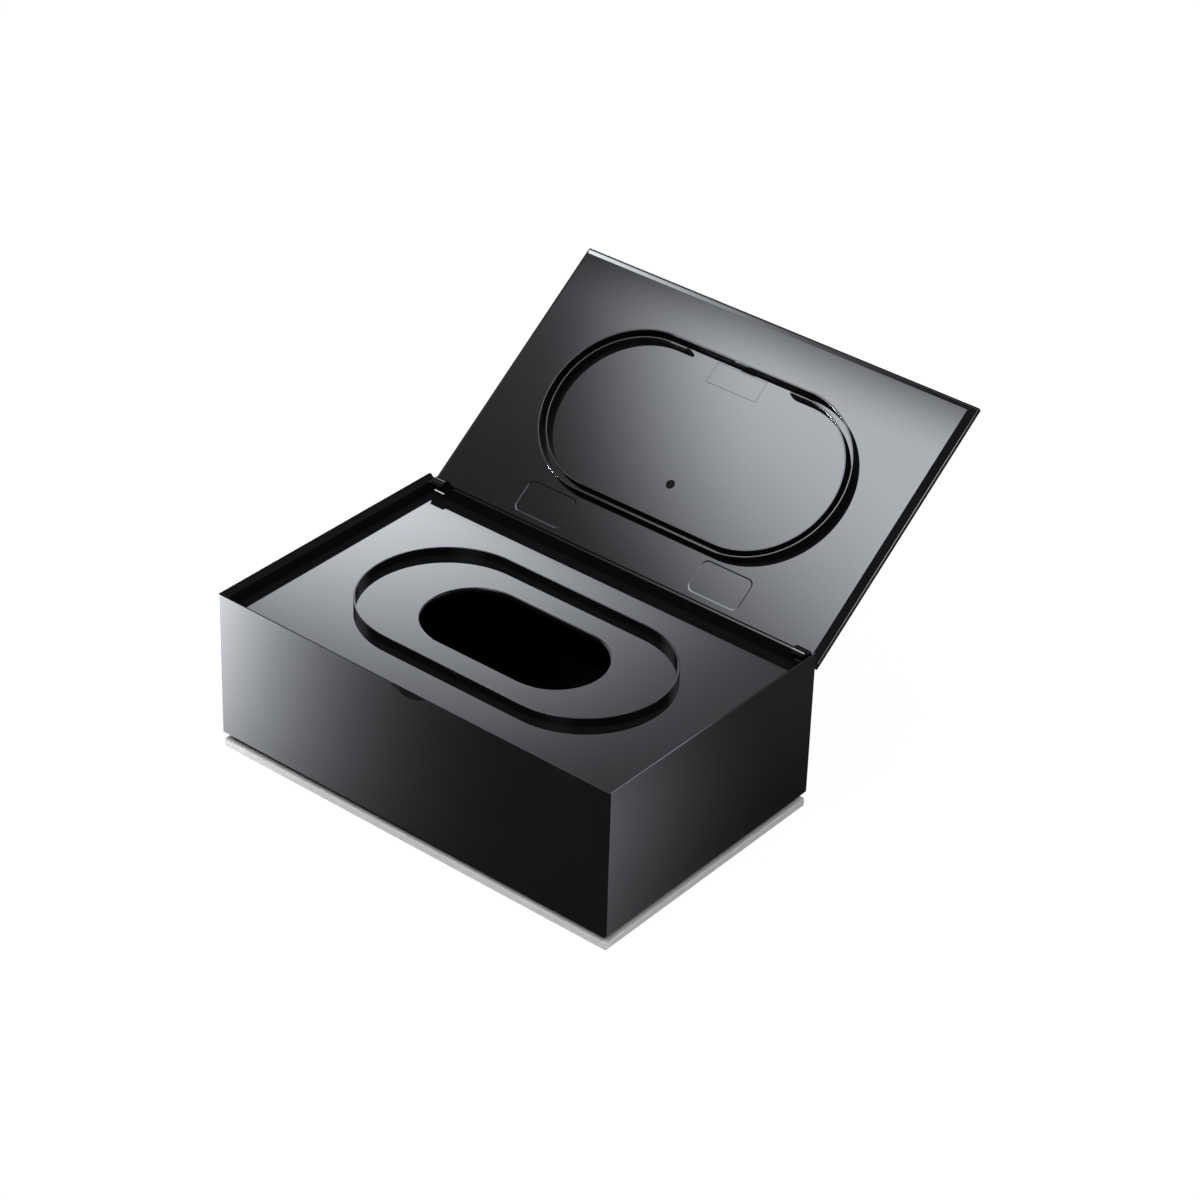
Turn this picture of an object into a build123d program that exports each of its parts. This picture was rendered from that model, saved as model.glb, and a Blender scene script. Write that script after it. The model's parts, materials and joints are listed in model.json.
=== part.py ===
"""Box for wet wipes: a glossy sleeve on a base tray, with a sealing collar and a hinged flat lid.

Millimetres. X is the box's width, Y runs from its front to its hinge side, Z is up.
The origin is the centre of the plane that the four feet stand on.
The lid is modelled open, on its stop.
"""
import math
import os

from build123d import *

os.makedirs("parts", exist_ok=True)

# Case: four walls, the front and side ones ending in a bevel that falls inwards,
# the rear one ending lower in a sharp lip between the lid's knuckles
case_width = 200.0
case_depth = 124.4
case_wall = 2.5
shell_height = 65.9
rim_land = 0.25
outer_corner_radius = 0.5
inner_corner_radius = 0.5
rear_wall_rise = 5.4

# Base: feet, light plate, and the dark tray that the case drops over
foot_radius = 8.0
foot_thickness = 1.2
foot_proud = 0.5
foot_clearance = 0.2
foot_edge_round = 0.3
plate_thickness = 3.4
plate_inset = 0.35
plate_corner_radius = 0.8
plate_edge_round = 0.3
shadow_gap = 3.5
tray_clearance = 0.3
tray_wall = 2.2
tray_floor = 2.0
tray_reach = 12.0
tray_corner_radius = 1.0
seal_height = 2.0
seal_groove_depth = 1.0
seal_squeeze_gap = 0.15
seal_above_case_edge = 6.0

# Stops inside the case that carry it on the tray's rim
stop_length = 12.0
stop_height = 4.0
stop_spacing = 120.0

# Deck: the plate inside the case, with the collar and the opening for the wipes
deck_drop = 6.9
deck_thickness = 2.0
deck_gap = 0.15
ledge_width = 2.5
ledge_height = 2.0
opening_length = 84.2
opening_width = 43.2
opening_edge_round = 0.8
collar_length = 144.2
collar_width = 74.6
collar_wall = 0.7
collar_height = 3.7
collar_edge_round = 0.2
catch_width = 6.5
catch_height = 1.0
catch_proud = 0.3
catch_below_collar_rim = 0.4

# Screws: one kind, four in the deck and four in the base
screw_radius = 1.25
screw_head_radius = 2.5
screw_head_height = 1.3
screw_inset = 7.0
screw_clearance = 0.35
pilot_clearance = 0.02
pilot_spare = 0.8
drive_slot_length = 2.6
drive_slot_width = 0.7
drive_slot_depth = 0.6
boss_radius = 3.2
deck_boss_length = 8.0
deck_tab_size = 13.0
deck_tab_thickness = 3.0
tray_boss_height = 6.0
thread_bite = 5.5
head_recess_clearance = 0.4
head_recess_depth = 1.4

# Hinge: two steel pins in the side walls carry the lid's knuckles
lid_open_angle = 144.0
lid_seam = 0.4
hinge_inset = 1.25
hinge_drop = 3.4
pin_radius = 0.6
pin_running_clearance = 0.05
pin_seat_depth = 1.7
knuckle_length = 5.8
knuckle_from_side = 3.6
knuckle_deck_clearance = 0.4
knuckle_side_clearance = 0.5
knuckle_wall_fall = 0.3
shoulder_radius = 1.15
shoulder_clearance = 0.3
stop_clearance = 0.4
wall_end_chamfer = 0.5

# Lid: a flat cover glued on a bevelled panel that carries the ribs
cover_thickness = 2.2
cover_edge_round = 0.3
panel_thickness = 2.6
panel_front_inset = 1.0
panel_rebate_clearance = 0.4
panel_hollow_depth = 1.0
panel_hollow_inset = 8.0
rib_wall = 0.7
outer_rib_length = 146.8
outer_rib_width = 78.0
outer_rib_height = 4.1
inner_rib_length = 140.2
inner_rib_width = 71.8
inner_rib_height = 3.5
inner_rib_gap = 51.0
hook_width = 7.0
hook_height = 0.9
hook_proud = 0.3
hook_below_rib_tip = 0.2
knuckle_relief_side = 1.3
knuckle_relief_front = 4.7
knuckle_relief_depth = 0.5
knuckle_relief_radius = 2.2

# Marks that the mould leaves on the panel's inner face
pad_length = 25.5
pad_width = 15.0
pad_radius = 3.0
pad_step = 0.1
pad_spacing = 90.5
pad_from_rear = 13.4
gate_radius = 2.0
gate_step = 0.3
gate_from_rear = 42.9
insert_length = 25.4
insert_width = 9.7
insert_step = 0.12
insert_from_front = 30.65

# Finger scoop in the outer face of the front wall, under the lid's edge
scoop_width = 20.0
scoop_height = 3.2
scoop_depth = 1.6

# Levels above the surface that the box stands on
plate_bottom = foot_proud
plate_top = plate_bottom + plate_thickness
shell_bottom = plate_top + shadow_gap
rim_top = shell_bottom + shell_height
tray_top = shell_bottom + tray_reach
deck_top = rim_top - deck_drop
deck_underside = deck_top - deck_thickness
deck_boss_bottom = deck_underside - deck_boss_length
deck_tab_bottom = deck_boss_bottom - deck_tab_thickness
tray_floor_top = plate_top + tray_floor
foot_recess_top = plate_bottom + foot_thickness - foot_proud
head_seat = foot_recess_top + head_recess_depth

# Plan sizes
inner_width = case_width - 2 * case_wall
inner_depth = case_depth - 2 * case_wall
rear_face = case_depth / 2
rim_bevel = case_wall - rim_land
tray_width = inner_width - 2 * tray_clearance
tray_depth = inner_depth - 2 * tray_clearance
screw_span_x = inner_width - 2 * screw_inset
screw_span_y = inner_depth - 2 * screw_inset
screw_hole_radius = screw_radius + screw_clearance
pilot_radius = screw_radius + pilot_clearance
shaft_hole_radius = pin_radius + pin_running_clearance

# Hinge axis, and the lid's own plane there: its Z leaves the lid's outer face
axis_y = rear_face - hinge_inset
axis_z = rim_top - hinge_drop
turn = math.radians(lid_open_angle)
lid_plane = Plane(
    origin=(0, axis_y, axis_z),
    x_dir=(1, 0, 0),
    z_dir=(0, math.sin(turn), math.cos(turn)),
)
cover_level = hinge_drop + lid_seam
panel_face = cover_level - panel_thickness
lid_centre = hinge_inset - rear_face
lid_front = hinge_inset - case_depth
knuckle_radius = deck_drop - hinge_drop - knuckle_deck_clearance
knuckle_outer_x = case_width / 2 - knuckle_from_side
knuckle_inner_x = knuckle_outer_x - knuckle_length
shoulder_outer_x = inner_width / 2 - shoulder_clearance
pin_end_x = inner_width / 2 + pin_seat_depth

# Where the open lid's lower rear corner comes to rest beside the rear wall
resting_corner_y = hinge_inset * math.cos(turn) + cover_level * math.sin(turn)
resting_corner_z = cover_level * math.cos(turn) - hinge_inset * math.sin(turn)
rear_chamfer = (
    hinge_inset - resting_corner_y
    + hinge_drop - deck_drop - resting_corner_z
    + stop_clearance * math.sqrt(2)
)
rear_setback = hinge_inset - resting_corner_y + stop_clearance

# The rear wall's lip, and the rebate in the panel that passes over it as the lid turns
lip_top = deck_top + rear_wall_rise
lip_front = case_wall - hinge_inset
lip_level = lip_top - axis_z
lip_sweep = math.hypot(lip_front, lip_level) + panel_rebate_clearance
rebate_depth = lip_level + panel_rebate_clearance - panel_face
rebate_front = math.sqrt(lip_sweep ** 2 - panel_face ** 2)

# The scoop is the cap of a ball that stands in front of the wall
scoop_centre_rise = ((scoop_width / 2) ** 2 - scoop_height ** 2) / (2 * scoop_height)
scoop_circle = scoop_centre_rise + scoop_height
scoop_chord = scoop_circle ** 2 - scoop_centre_rise ** 2
scoop_standoff = (scoop_chord - scoop_depth ** 2) / (2 * scoop_depth)
scoop_radius = math.hypot(scoop_circle, scoop_standoff)


def save(piece, name):
    """Label a finished piece and write it to its own file."""
    piece.part.label = name
    export_step(piece.part, f"parts/{name}.step")


def across(x):
    """A plane square to the hinge axis at x, in the case's own directions."""
    return Plane(origin=(x, axis_y, axis_z), x_dir=(0, 1, 0), z_dir=(1, 0, 0))


def across_lid(x):
    """A plane square to the hinge axis at x, turned with the lid."""
    return Plane(origin=(x, axis_y, axis_z), x_dir=lid_plane.y_dir, z_dir=(1, 0, 0))


def span(side, near, far):
    """The lower end and the length of a stretch of the hinge axis on one side."""
    return min(side * near, side * far), far - near


# Case shell
with BuildPart() as case_shell:
    with BuildSketch(Plane.XY.offset(shell_bottom)):
        RectangleRounded(case_width, case_depth, outer_corner_radius)
    extrude(amount=shell_height)
    with BuildSketch(Plane.XY.offset(shell_bottom)):
        RectangleRounded(inner_width, inner_depth, inner_corner_radius)
    extrude(amount=shell_height, mode=Mode.SUBTRACT)
    # Bevel of the front and side walls, carried straight on past the rear face
    bevel_reach = case_depth - rim_land + 2 * rim_bevel
    with BuildSketch(Plane.XY.offset(rim_top)):
        with Locations((0, rim_land + bevel_reach / 2 - rear_face)):
            Rectangle(case_width - 2 * rim_land, bevel_reach)
    extrude(amount=-rim_bevel, taper=45, mode=Mode.SUBTRACT)
    # Under the knuckles the rear wall stops level with the deck, and its top falls gently to the rear
    with BuildSketch(Plane.YZ.offset(-inner_width / 2)):
        with BuildLine():
            Polyline(
                (rear_face, rim_top),
                (rear_face - case_wall, rim_top),
                (rear_face - case_wall, deck_top),
                (rear_face - rear_chamfer + knuckle_wall_fall, deck_top - knuckle_wall_fall),
                (rear_face, deck_top - rear_chamfer),
                close=True,
            )
        make_face()
    extrude(amount=inner_width, mode=Mode.SUBTRACT)
    # Between the knuckles it rises to a lip that falls away to the rear
    lip_reach = knuckle_inner_x - knuckle_side_clearance
    with BuildSketch(Plane.YZ.offset(-lip_reach)):
        with BuildLine():
            Polyline(
                (rear_face, deck_top - rear_chamfer - knuckle_wall_fall),
                (rear_face, deck_top - rear_chamfer),
                (rear_face - rear_setback, deck_top - rear_chamfer + rear_setback),
                (rear_face - rear_setback, lip_top - case_wall + rear_setback),
                (rear_face - case_wall, lip_top),
                (rear_face - case_wall, deck_top - rear_chamfer - knuckle_wall_fall),
                close=True,
            )
        make_face()
    extrude(amount=2 * lip_reach)
    with BuildSketch(Plane.YZ.offset(-case_width / 2)):
        with BuildLine():
            Polyline(
                (rear_face, rim_top),
                (rear_face - wall_end_chamfer, rim_top),
                (rear_face, rim_top - wall_end_chamfer),
                close=True,
            )
        make_face()
    extrude(amount=case_width, mode=Mode.SUBTRACT)
    # Ledge under the deck's edge
    with BuildSketch(Plane.XY.offset(deck_underside)):
        Rectangle(inner_width + case_wall, inner_depth + case_wall)
        Rectangle(inner_width - 2 * ledge_width, inner_depth - 2 * ledge_width, mode=Mode.SUBTRACT)
    extrude(amount=-ledge_height)
    # Corner tabs that the deck is screwed to from below
    with BuildSketch(Plane.XY.offset(deck_tab_bottom)):
        with GridLocations(inner_width - deck_tab_size, inner_depth - deck_tab_size, 2, 2):
            Rectangle(deck_tab_size, deck_tab_size)
        with GridLocations(screw_span_x, screw_span_y, 2, 2):
            Circle(screw_hole_radius, mode=Mode.SUBTRACT)
    extrude(amount=deck_tab_thickness)
    # Stops that stand on the tray's rim
    stop_reach = tray_clearance + tray_wall
    with BuildSketch(Plane.XY.offset(tray_top)):
        with GridLocations(stop_spacing, inner_depth - stop_reach, 2, 2):
            Rectangle(stop_length, stop_reach)
        with GridLocations(inner_width - stop_reach, 0, 2, 1):
            Rectangle(stop_reach, stop_length)
    extrude(amount=stop_height)
    # Blind seats for the hinge pins
    for side in (-1, 1):
        start, length = span(side, knuckle_outer_x, pin_end_x)
        with BuildSketch(across(start)):
            Circle(pin_radius)
        extrude(amount=length, mode=Mode.SUBTRACT)
    # Finger scoop
    with Locations((0, -rear_face - scoop_standoff, rim_top + scoop_centre_rise)):
        Sphere(scoop_radius, mode=Mode.SUBTRACT)
save(case_shell, "case_shell")

# Deck plate with its collar
with BuildPart() as deck_plate:
    with BuildSketch(Plane.XY.offset(deck_underside)):
        RectangleRounded(inner_width - 2 * deck_gap, inner_depth - 2 * deck_gap, inner_corner_radius)
    extrude(amount=deck_thickness)
    with BuildSketch(Plane.XY.offset(deck_underside)):
        SlotOverall(opening_length, opening_width)
    extrude(amount=deck_thickness, mode=Mode.SUBTRACT)
    fillet(deck_plate.edges(Select.LAST).group_by(Axis.Z)[-1], opening_edge_round)
    with BuildSketch(Plane.XY.offset(deck_top)):
        SlotOverall(collar_length, collar_width)
        SlotOverall(collar_length - 2 * collar_wall, collar_width - 2 * collar_wall, mode=Mode.SUBTRACT)
    extrude(amount=collar_height)
    fillet(deck_plate.edges().group_by(Axis.Z)[-1], collar_edge_round)
    # Catch that the lid's hook passes, in the middle of the collar's front
    catch_z = deck_top + collar_height - catch_below_collar_rim - catch_height / 2
    with Locations((0, -collar_width / 2, catch_z)):
        Box(catch_width, 2 * catch_proud, catch_height)
    with BuildSketch(Plane.XY.offset(deck_boss_bottom)):
        with GridLocations(screw_span_x, screw_span_y, 2, 2):
            Circle(boss_radius)
    extrude(amount=deck_boss_length)
    with BuildSketch(Plane.XY.offset(deck_boss_bottom)):
        with GridLocations(screw_span_x, screw_span_y, 2, 2):
            Circle(pilot_radius)
    extrude(amount=thread_bite + pilot_spare, mode=Mode.SUBTRACT)
save(deck_plate, "deck_plate")

# Lid panel: bevel, ribs, hook, knuckles and mould marks
with BuildPart() as lid_panel:
    with BuildSketch(lid_plane.offset(cover_level)):
        with Locations((0, lid_centre + (panel_front_inset - rim_land) / 2)):
            Rectangle(case_width - 2 * rim_land, case_depth - panel_front_inset - rim_land)
    extrude(amount=-panel_thickness, taper=45)
    with BuildSketch(lid_plane.offset(cover_level)):
        with Locations((0, lid_centre)):
            Rectangle(case_width - 2 * panel_hollow_inset, case_depth - 2 * panel_hollow_inset)
    extrude(amount=-panel_hollow_depth, mode=Mode.SUBTRACT)
    # Rebate along the rear edge, over the rear wall's lip
    with BuildSketch(lid_plane.offset(panel_face)):
        with Locations((0, hinge_inset - (rebate_front + hinge_inset) / 2)):
            Rectangle(case_width, rebate_front + hinge_inset)
    extrude(amount=rebate_depth, mode=Mode.SUBTRACT)
    # Outer rib all round, outside the collar when the lid is shut
    with BuildSketch(lid_plane.offset(panel_face)):
        with Locations((0, lid_centre)):
            SlotOverall(outer_rib_length, outer_rib_width)
            SlotOverall(outer_rib_length - 2 * rib_wall, outer_rib_width - 2 * rib_wall, mode=Mode.SUBTRACT)
    extrude(amount=-outer_rib_height)
    # Inner rib, inside the collar, with a gap at the front
    with BuildSketch(lid_plane.offset(panel_face)):
        with Locations((0, lid_centre)):
            SlotOverall(inner_rib_length, inner_rib_width)
            SlotOverall(inner_rib_length - 2 * rib_wall, inner_rib_width - 2 * rib_wall, mode=Mode.SUBTRACT)
        with Locations((0, lid_centre - inner_rib_width / 2)):
            Rectangle(inner_rib_gap, 4 * rib_wall, mode=Mode.SUBTRACT)
    extrude(amount=-inner_rib_height)
    # Hook on the outer rib, facing the collar's catch
    hook_y = lid_centre - outer_rib_width / 2 + rib_wall
    with BuildSketch(lid_plane.offset(panel_face - outer_rib_height + hook_below_rib_tip)):
        with Locations((0, hook_y)):
            Rectangle(hook_width, 2 * hook_proud)
    extrude(amount=hook_height)
    # Mould marks
    with BuildSketch(lid_plane.offset(panel_face)):
        with Locations(
            (-pad_spacing / 2, hinge_inset - pad_from_rear),
            (pad_spacing / 2, hinge_inset - pad_from_rear),
        ):
            RectangleRounded(pad_length, pad_width, pad_radius)
    extrude(amount=pad_step, mode=Mode.SUBTRACT)
    with BuildSketch(lid_plane.offset(panel_face)):
        with Locations((0, hinge_inset - gate_from_rear)):
            Circle(gate_radius)
    extrude(amount=gate_step, mode=Mode.SUBTRACT)
    with BuildSketch(lid_plane.offset(panel_face)):
        with Locations((0, lid_front + insert_from_front)):
            Rectangle(insert_length, insert_width)
    extrude(amount=insert_step, mode=Mode.SUBTRACT)
    # Sunken seats that the knuckles stand in
    relief_inner_x = knuckle_inner_x - knuckle_relief_side
    relief_centre_x = (relief_inner_x + inner_width / 2) / 2
    relief_length = 2 * knuckle_relief_front
    with BuildSketch(lid_plane.offset(panel_face)):
        with Locations((-relief_centre_x, hinge_inset), (relief_centre_x, hinge_inset)):
            RectangleRounded(inner_width / 2 - relief_inner_x, relief_length, knuckle_relief_radius)
    extrude(amount=knuckle_relief_depth, mode=Mode.SUBTRACT)
    for side in (-1, 1):
        start, length = span(side, knuckle_inner_x, knuckle_outer_x)
        with BuildSketch(across_lid(start)):
            Circle(knuckle_radius)
            with Locations((hinge_inset + knuckle_radius, 0)):
                Rectangle(2 * knuckle_radius, 2 * knuckle_radius, mode=Mode.SUBTRACT)
        extrude(amount=length)
        start, length = span(side, knuckle_outer_x, shoulder_outer_x)
        with BuildSketch(across_lid(start)):
            Circle(shoulder_radius)
        extrude(amount=length)
        start, length = span(side, knuckle_inner_x, shoulder_outer_x)
        with BuildSketch(across_lid(start)):
            Circle(shaft_hole_radius)
        extrude(amount=length, mode=Mode.SUBTRACT)
save(lid_panel, "lid_panel")

# Lid cover
with BuildPart() as lid_cover:
    with BuildSketch(lid_plane.offset(cover_level)):
        with Locations((0, lid_centre)):
            RectangleRounded(case_width, case_depth, outer_corner_radius)
    extrude(amount=cover_thickness)
    fillet(lid_cover.faces().sort_by(lid_plane.location.z_axis)[-1].edges(), cover_edge_round)
save(lid_cover, "lid_cover")

# Hinge pins
for side, side_name in ((-1, "left"), (1, "right")):
    pin_start, pin_length = span(side, knuckle_inner_x, pin_end_x)
    with BuildPart() as hinge_pin:
        with BuildSketch(across(pin_start)):
            Circle(pin_radius)
        extrude(amount=pin_length)
    save(hinge_pin, f"hinge_pin_{side_name}")

# Base tray, the dark sleeve that enters the case
seal_bottom = shell_bottom + seal_above_case_edge
with BuildPart() as base_tray:
    with BuildSketch(Plane.XY.offset(plate_top)):
        RectangleRounded(tray_width, tray_depth, tray_corner_radius)
    extrude(amount=tray_top - plate_top)
    with BuildSketch(Plane.XY.offset(tray_floor_top)):
        Rectangle(tray_width - 2 * tray_wall, tray_depth - 2 * tray_wall)
    extrude(amount=tray_top - tray_floor_top, mode=Mode.SUBTRACT)
    with BuildSketch(Plane.XY.offset(seal_bottom)):
        Rectangle(inner_width, inner_depth)
        Rectangle(
            tray_width - 2 * seal_groove_depth,
            tray_depth - 2 * seal_groove_depth,
            mode=Mode.SUBTRACT,
        )
    extrude(amount=seal_height, mode=Mode.SUBTRACT)
    with BuildSketch(Plane.XY.offset(tray_floor_top)):
        with GridLocations(screw_span_x, screw_span_y, 2, 2):
            Circle(boss_radius)
    extrude(amount=tray_boss_height)
    with BuildSketch(Plane.XY.offset(plate_top)):
        with GridLocations(screw_span_x, screw_span_y, 2, 2):
            Circle(pilot_radius)
    extrude(amount=thread_bite + pilot_spare, mode=Mode.SUBTRACT)
save(base_tray, "base_tray")

# Seal ring in the tray's groove
with BuildPart() as base_seal:
    with BuildSketch(Plane.XY.offset(seal_bottom)):
        Rectangle(inner_width - 2 * seal_squeeze_gap, inner_depth - 2 * seal_squeeze_gap)
        Rectangle(
            tray_width - 2 * seal_groove_depth,
            tray_depth - 2 * seal_groove_depth,
            mode=Mode.SUBTRACT,
        )
    extrude(amount=seal_height)
save(base_seal, "base_seal")

# Base plate, with recesses for the feet and the screw heads
with BuildPart() as base_plate:
    with BuildSketch(Plane.XY.offset(plate_bottom)):
        RectangleRounded(case_width - 2 * plate_inset, case_depth - 2 * plate_inset, plate_corner_radius)
    extrude(amount=plate_thickness)
    fillet(base_plate.faces().sort_by(Axis.Z)[-1].edges(), plate_edge_round)
    fillet(base_plate.faces().sort_by(Axis.Z)[0].edges(), plate_edge_round)
    with BuildSketch(Plane.XY.offset(plate_bottom)):
        with GridLocations(screw_span_x, screw_span_y, 2, 2):
            Circle(foot_radius + foot_clearance)
    extrude(amount=foot_recess_top - plate_bottom, mode=Mode.SUBTRACT)
    with BuildSketch(Plane.XY.offset(foot_recess_top)):
        with GridLocations(screw_span_x, screw_span_y, 2, 2):
            Circle(screw_head_radius + head_recess_clearance)
    extrude(amount=head_recess_depth, mode=Mode.SUBTRACT)
    with BuildSketch(Plane.XY.offset(head_seat)):
        with GridLocations(screw_span_x, screw_span_y, 2, 2):
            Circle(screw_hole_radius)
    extrude(amount=plate_top - head_seat, mode=Mode.SUBTRACT)
save(base_plate, "base_plate")


def save_screws(name, seat_level, shank_length):
    """Four screws with their heads under seat_level, driven upwards."""
    with BuildPart() as screws:
        with BuildSketch(Plane.XY.offset(seat_level)):
            with GridLocations(screw_span_x, screw_span_y, 2, 2):
                Circle(screw_head_radius)
        extrude(amount=-screw_head_height)
        with BuildSketch(Plane.XY.offset(seat_level)):
            with GridLocations(screw_span_x, screw_span_y, 2, 2):
                Circle(screw_radius)
        extrude(amount=shank_length)
        with BuildSketch(Plane.XY.offset(seat_level - screw_head_height)):
            with GridLocations(screw_span_x, screw_span_y, 2, 2):
                Rectangle(drive_slot_length, drive_slot_width)
                Rectangle(drive_slot_width, drive_slot_length)
        extrude(amount=drive_slot_depth, mode=Mode.SUBTRACT)
    save(screws, name)


save_screws("deck_screws", deck_tab_bottom, deck_tab_thickness + thread_bite)
save_screws("base_screws", head_seat, plate_top - head_seat + thread_bite)

# Feet, one under each base screw
for side, side_name in ((-1, "left"), (1, "right")):
    for end, end_name in ((-1, "front"), (1, "rear")):
        with BuildPart() as foot:
            with BuildSketch(Plane.XY):
                with Locations((side * screw_span_x / 2, end * screw_span_y / 2)):
                    Circle(foot_radius)
            extrude(amount=foot_thickness)
            fillet(foot.edges().group_by(Axis.Z)[0], foot_edge_round)
        save(foot, f"foot_{end_name}_{side_name}")
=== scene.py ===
"""Looks of the wet wipes box: finished mouldings, ribs, fastenings, finishes and the studio round them."""
import json
import math

import bmesh
import bpy
from mathutils import Matrix, Vector

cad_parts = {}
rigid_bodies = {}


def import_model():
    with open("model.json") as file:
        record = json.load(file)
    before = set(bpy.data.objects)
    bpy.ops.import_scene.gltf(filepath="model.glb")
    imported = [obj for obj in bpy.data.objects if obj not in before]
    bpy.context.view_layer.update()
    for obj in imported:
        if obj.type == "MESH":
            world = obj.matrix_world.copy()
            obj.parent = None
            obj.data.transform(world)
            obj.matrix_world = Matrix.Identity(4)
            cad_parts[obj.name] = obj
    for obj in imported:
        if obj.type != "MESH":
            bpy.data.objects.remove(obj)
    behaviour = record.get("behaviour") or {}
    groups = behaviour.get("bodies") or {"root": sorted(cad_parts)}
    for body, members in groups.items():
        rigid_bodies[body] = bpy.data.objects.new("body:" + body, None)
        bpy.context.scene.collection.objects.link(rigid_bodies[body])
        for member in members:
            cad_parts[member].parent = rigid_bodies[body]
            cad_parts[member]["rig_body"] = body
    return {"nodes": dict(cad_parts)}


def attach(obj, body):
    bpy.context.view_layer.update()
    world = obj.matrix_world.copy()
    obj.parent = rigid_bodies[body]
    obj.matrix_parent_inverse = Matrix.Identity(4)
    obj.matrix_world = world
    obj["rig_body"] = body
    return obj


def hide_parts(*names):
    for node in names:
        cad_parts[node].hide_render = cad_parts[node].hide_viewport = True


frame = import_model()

bl_info = {
    "name": "Wet wipes box",
    "version": (1, 0, 0),
    "blender": (4, 5, 0),
    "location": "View3D > Sidebar > Wipes box",
    "description": "Finishes the wet wipes box on its packed frame",
    "category": "Object",
}

MM = 0.001
# Distances under which two places count as one, for welded corners and for fine cuts
SAME = 1e-6
FINE = 1e-7

# The box
DECK_TOP = 66.4 * MM
RIM_TOP = 73.3 * MM
REAR_WALL = 59.7 * MM
LEDGE_HEIGHT = 1.4 * MM
LEDGE_STEP = 0.001 * MM
# How far the collar and the ribs reach into the plate that carries them
SINK = 0.4 * MM
LUG_HALF_DEPTH = 0.3 * MM
LUG_EDGE = 0.12 * MM

# The lid's own frame, as it stands open on its stop
HINGE = Vector((0.0, 0.06095, 0.0699))
LID_ANGLE = math.radians(144.0)
LID_BACK = Vector((0.0, math.cos(LID_ANGLE), -math.sin(LID_ANGLE)))
LID_UP = Vector((0.0, math.sin(LID_ANGLE), math.cos(LID_ANGLE)))
LID_FRAME = Matrix((
    (1, 0, 0, HINGE.x),
    (0, LID_BACK.y, LID_UP.y, HINGE.y),
    (0, LID_BACK.z, LID_UP.z, HINGE.z),
    (0, 0, 0, 1),
))

# The lid's faces and marks in that frame
LID_CENTRE = -60.95 * MM
LID_FACE = 1.2 * MM
COVER_FACE = 3.8 * MM
COVER_FRONT = -123.15 * MM
PAD_AT = (45.25 * MM, -12.15 * MM)
PAD_HALF = (12.75 * MM, 7.5 * MM)
PAD_DEPTH = 0.1 * MM
RECTANGLE_DEPTH = 0.12 * MM
GATE_AT = -41.65 * MM
GATE_RADIUS = 2.1 * MM
RIB_END_ROUND = 2.0 * MM

SCREW_HEAD_RADIUS = 2.5 * MM
SCREW_HEAD_HEIGHT = 1.3 * MM
SCREW_RADIUS = 1.25 * MM
SCREW_PITCH = 0.5 * MM
SCREW_TURN = 0.6
RECESS_LENGTH, RECESS_WIDTH, RECESS_DEPTH = 2.6 * MM, 0.7 * MM, 0.6 * MM
DECK_SCREW_LENGTH = 8.5 * MM
BASE_SCREW_LENGTH = 6.8 * MM

# Boxes in millimetres that hold the edges that stay crisp: the scoop, the rear wall's ledge, the plain rectangle
SCOOP_BOX = ((-14, -63, 60), (14, -61, 73.2))
LEDGE_BOX = ((-90, 59.45, 66.7), (90, 60.05, 69))
RECTANGLE_BOX = ((-14, -98, -5), (14, -87, 1.4))


# Meshes

def clear_start():
    """Removes what a new Blender file starts with."""
    for ob in [o for o in bpy.context.scene.objects if o.name in ("Cube", "Camera", "Light") and "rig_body" not in o]:
        bpy.data.objects.remove(ob, do_unlink=True)


def link(name, data):
    """A new object in the scene."""
    ob = bpy.data.objects.new(name, data)
    bpy.context.scene.collection.objects.link(ob)
    return ob


def settle(ob):
    """Turns an object with modifiers into a plain mesh."""
    bpy.context.view_layer.update()
    made = bpy.data.meshes.new_from_object(ob.evaluated_get(bpy.context.evaluated_depsgraph_get()))
    made.name = ob.name
    ob.modifiers.clear()
    ob.data = made
    return ob


def even_normals(ob, keep_sharp=False):
    """Shades the flat faces flat, by their size, and settles the object."""
    normals = ob.modifiers.new("flat", "WEIGHTED_NORMAL")
    normals.mode = "FACE_AREA"
    normals.weight = 50
    normals.keep_sharp = keep_sharp
    return settle(ob)


def inside(p, box):
    """Whether a point lies in a box that is given in millimetres."""
    return all(low * MM < v < high * MM for v, low, high in zip(p, *box))


def cad_copy(node):
    """A bmesh of a CAD node's mesh, with its triangles welded."""
    bm = bmesh.new()
    bm.from_mesh(frame["nodes"][node].data)
    bmesh.ops.remove_doubles(bm, verts=bm.verts, dist=SAME)
    return bm


def whole_faces(bm):
    """Makes one face of the triangles that lie flat beside each other."""
    bmesh.ops.dissolve_limit(bm, angle_limit=math.radians(0.4), verts=bm.verts, edges=bm.edges)


def soft_edges(ob, width, segments=2, angle=28.0, crisp=None):
    """Rounds a moulding's sharp edges, apart from those that crisp picks, and keeps its flat faces flat."""
    me = ob.data
    me.shade_smooth()
    bm = bmesh.new()
    bm.from_mesh(me)
    weight = bm.edges.layers.float.new("bevel_weight_edge")
    for e in bm.edges:
        if len(e.link_faces) == 2 and e.calc_face_angle() > math.radians(angle):
            if crisp and crisp((e.verts[0].co + e.verts[1].co) / 2):
                e.smooth = False
            else:
                e[weight] = 1.0
    bm.to_mesh(me)
    bm.free()
    bevel = ob.modifiers.new("edge", "BEVEL")
    bevel.width = width
    bevel.segments = segments
    bevel.limit_method = "WEIGHT"
    bevel.use_clamp_overlap = True
    bevel.harden_normals = True
    bevel.miter_outer = "MITER_SHARP"
    return even_normals(ob, keep_sharp=True)


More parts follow.
